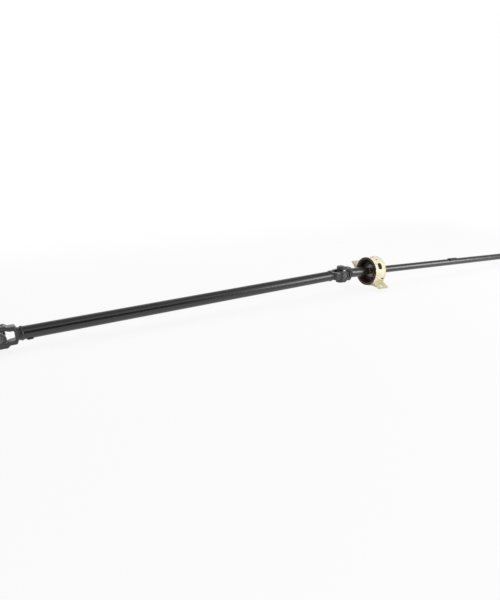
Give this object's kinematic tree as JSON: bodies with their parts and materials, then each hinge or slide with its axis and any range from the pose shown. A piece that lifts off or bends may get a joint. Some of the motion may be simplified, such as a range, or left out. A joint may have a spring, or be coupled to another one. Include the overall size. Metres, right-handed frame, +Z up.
{
  "type": "universal joint shaft",
  "caption": "Two-piece propeller shaft with universal joints, a splined slip yoke and a rubber-mounted centre support bearing in a bolted bracket.",
  "frame": {"origin": "on the vertical plane through the shaft axis, halfway between the two flange ends, on the surface the flanges lie on; the turned bracket puts the box centre 7.5 mm to +Y of it", "axes": "+X from the rear flange to the front flange, +Z up, +Y to the far side"},
  "size_m": [2.2796, 0.1655, 0.1259],
  "materials": {
    "black_tube": "satin black paint",
    "forged_steel": "dark forged and phosphated",
    "bright_steel": "ground steel",
    "turned_steel": "oiled turned steel",
    "zinc_gold": "yellow passivated zinc",
    "dark_shell": "dark phosphated steel",
    "rubber": "moulded rubber",
    "seal_rubber": "moulded seal rubber",
    "bearing_seal": "red-brown seal",
    "brass": "bright"
  },
  "bodies": {
    "centre_support": {"bracket_band": "zinc_gold", "mounting_foot_near": "zinc_gold", "mounting_foot_far": "zinc_gold", "cushion_shell": "dark_shell", "rubber_cushion": "rubber", "bearing_carrier": "turned_steel", "carrier_snap_ring": "bright_steel", "bearing_outer_race": "bright_steel", "bearing_seal_rear": "bearing_seal", "bearing_seal_front": "bearing_seal"},
    "ball_set": {"bearing_balls": "bright_steel", "bearing_cage": "brass"},
    "front_shaft": {"stub_shaft": "turned_steel", "front_tube": "black_tube", "front_balance_weight": "black_tube", "bearing_inner_race": "bright_steel", "dust_slinger_rear": "turned_steel", "dust_slinger_front": "turned_steel", "front_weld_yoke": "forged_steel", "front_weld_yoke_bearing_cups": "bright_steel", "front_weld_yoke_snap_rings": "bright_steel", "front_weld_yoke_trunnion_seals": "seal_rubber"},
    "slip_assembly": {"slip_yoke": "forged_steel", "slip_yoke_bearing_cups": "bright_steel", "slip_yoke_snap_rings": "bright_steel", "slip_yoke_trunnion_seals": "seal_rubber", "slip_yoke_plug": "bright_steel", "slip_yoke_seal": "seal_rubber"},
    "centre_cross": {"centre_joint_cross": "bright_steel", "centre_joint_needle_rollers": "bright_steel", "centre_joint_grease_nipple": "bright_steel"},
    "rear_shaft": {"rear_tube": "black_tube", "rear_balance_weight": "black_tube", "centre_weld_yoke": "forged_steel", "centre_weld_yoke_bearing_cups": "bright_steel", "centre_weld_yoke_snap_rings": "bright_steel", "centre_weld_yoke_trunnion_seals": "seal_rubber", "rear_weld_yoke": "forged_steel", "rear_weld_yoke_bearing_cups": "bright_steel", "rear_weld_yoke_snap_rings": "bright_steel", "rear_weld_yoke_trunnion_seals": "seal_rubber"},
    "rear_cross": {"rear_joint_cross": "bright_steel", "rear_joint_needle_rollers": "bright_steel", "rear_joint_grease_nipple": "bright_steel"},
    "rear_flange": {"rear_flange_yoke": "forged_steel", "rear_flange_yoke_bearing_cups": "bright_steel", "rear_flange_yoke_snap_rings": "bright_steel", "rear_flange_yoke_trunnion_seals": "seal_rubber"},
    "front_cross": {"front_joint_cross": "bright_steel", "front_joint_needle_rollers": "bright_steel", "front_joint_grease_nipple": "bright_steel"},
    "front_flange": {"front_flange_yoke": "forged_steel", "front_flange_yoke_bearing_cups": "bright_steel", "front_flange_yoke_snap_rings": "bright_steel", "front_flange_yoke_trunnion_seals": "seal_rubber"}
  },
  "joints": [
    {"name": "support_spin", "type": "hinge", "parent": "front_shaft", "child": "centre_support", "pos_m": [0.19849, 0, 0.07105], "axis": [0.9995, 0, -0.031], "continuous": true},
    {"name": "ball_set_spin", "type": "hinge", "parent": "front_shaft", "child": "ball_set", "pos_m": [0.19849, 0, 0.07105], "axis": [0.9995, 0, -0.031], "continuous": true},
    {"name": "slip_slide", "type": "slide", "parent": "front_shaft", "child": "slip_assembly", "axis": [0.9995, 0, -0.031], "range_m": [-0.02, 0.015]},
    {"name": "centre_upright_pivot", "type": "hinge", "parent": "slip_assembly", "child": "centre_cross", "pos_m": [0.04227, 0, 0.0759], "axis": [0.031, 0, 0.9995], "range_deg": [-20, 20]},
    {"name": "centre_level_pivot", "type": "hinge", "parent": "centre_cross", "child": "rear_shaft", "pos_m": [0.04227, 0, 0.0759], "axis": [0, 1, 0], "range_deg": [-20, 20]},
    {"name": "rear_upright_pivot", "type": "hinge", "parent": "rear_shaft", "child": "rear_cross", "pos_m": [-1.10176, 0, 0.043], "axis": [-0.0287, 0, 0.9996], "range_deg": [-20, 20]},
    {"name": "rear_level_pivot", "type": "hinge", "parent": "rear_cross", "child": "rear_flange", "pos_m": [-1.10176, 0, 0.043], "axis": [0, 1, 0], "range_deg": [-20, 20]},
    {"name": "front_upright_pivot", "type": "hinge", "parent": "front_shaft", "child": "front_cross", "pos_m": [1.10176, 0, 0.043], "axis": [0.031, 0, 0.9995], "range_deg": [-20, 20]},
    {"name": "front_level_pivot", "type": "hinge", "parent": "front_cross", "child": "front_flange", "pos_m": [1.10176, 0, 0.043], "axis": [0, 1, 0], "range_deg": [-20, 20]}
  ],
  "couplings": [
    {"joint": "ball_set_spin", "follows": "support_spin", "ratio": 0.59028}
  ]
}
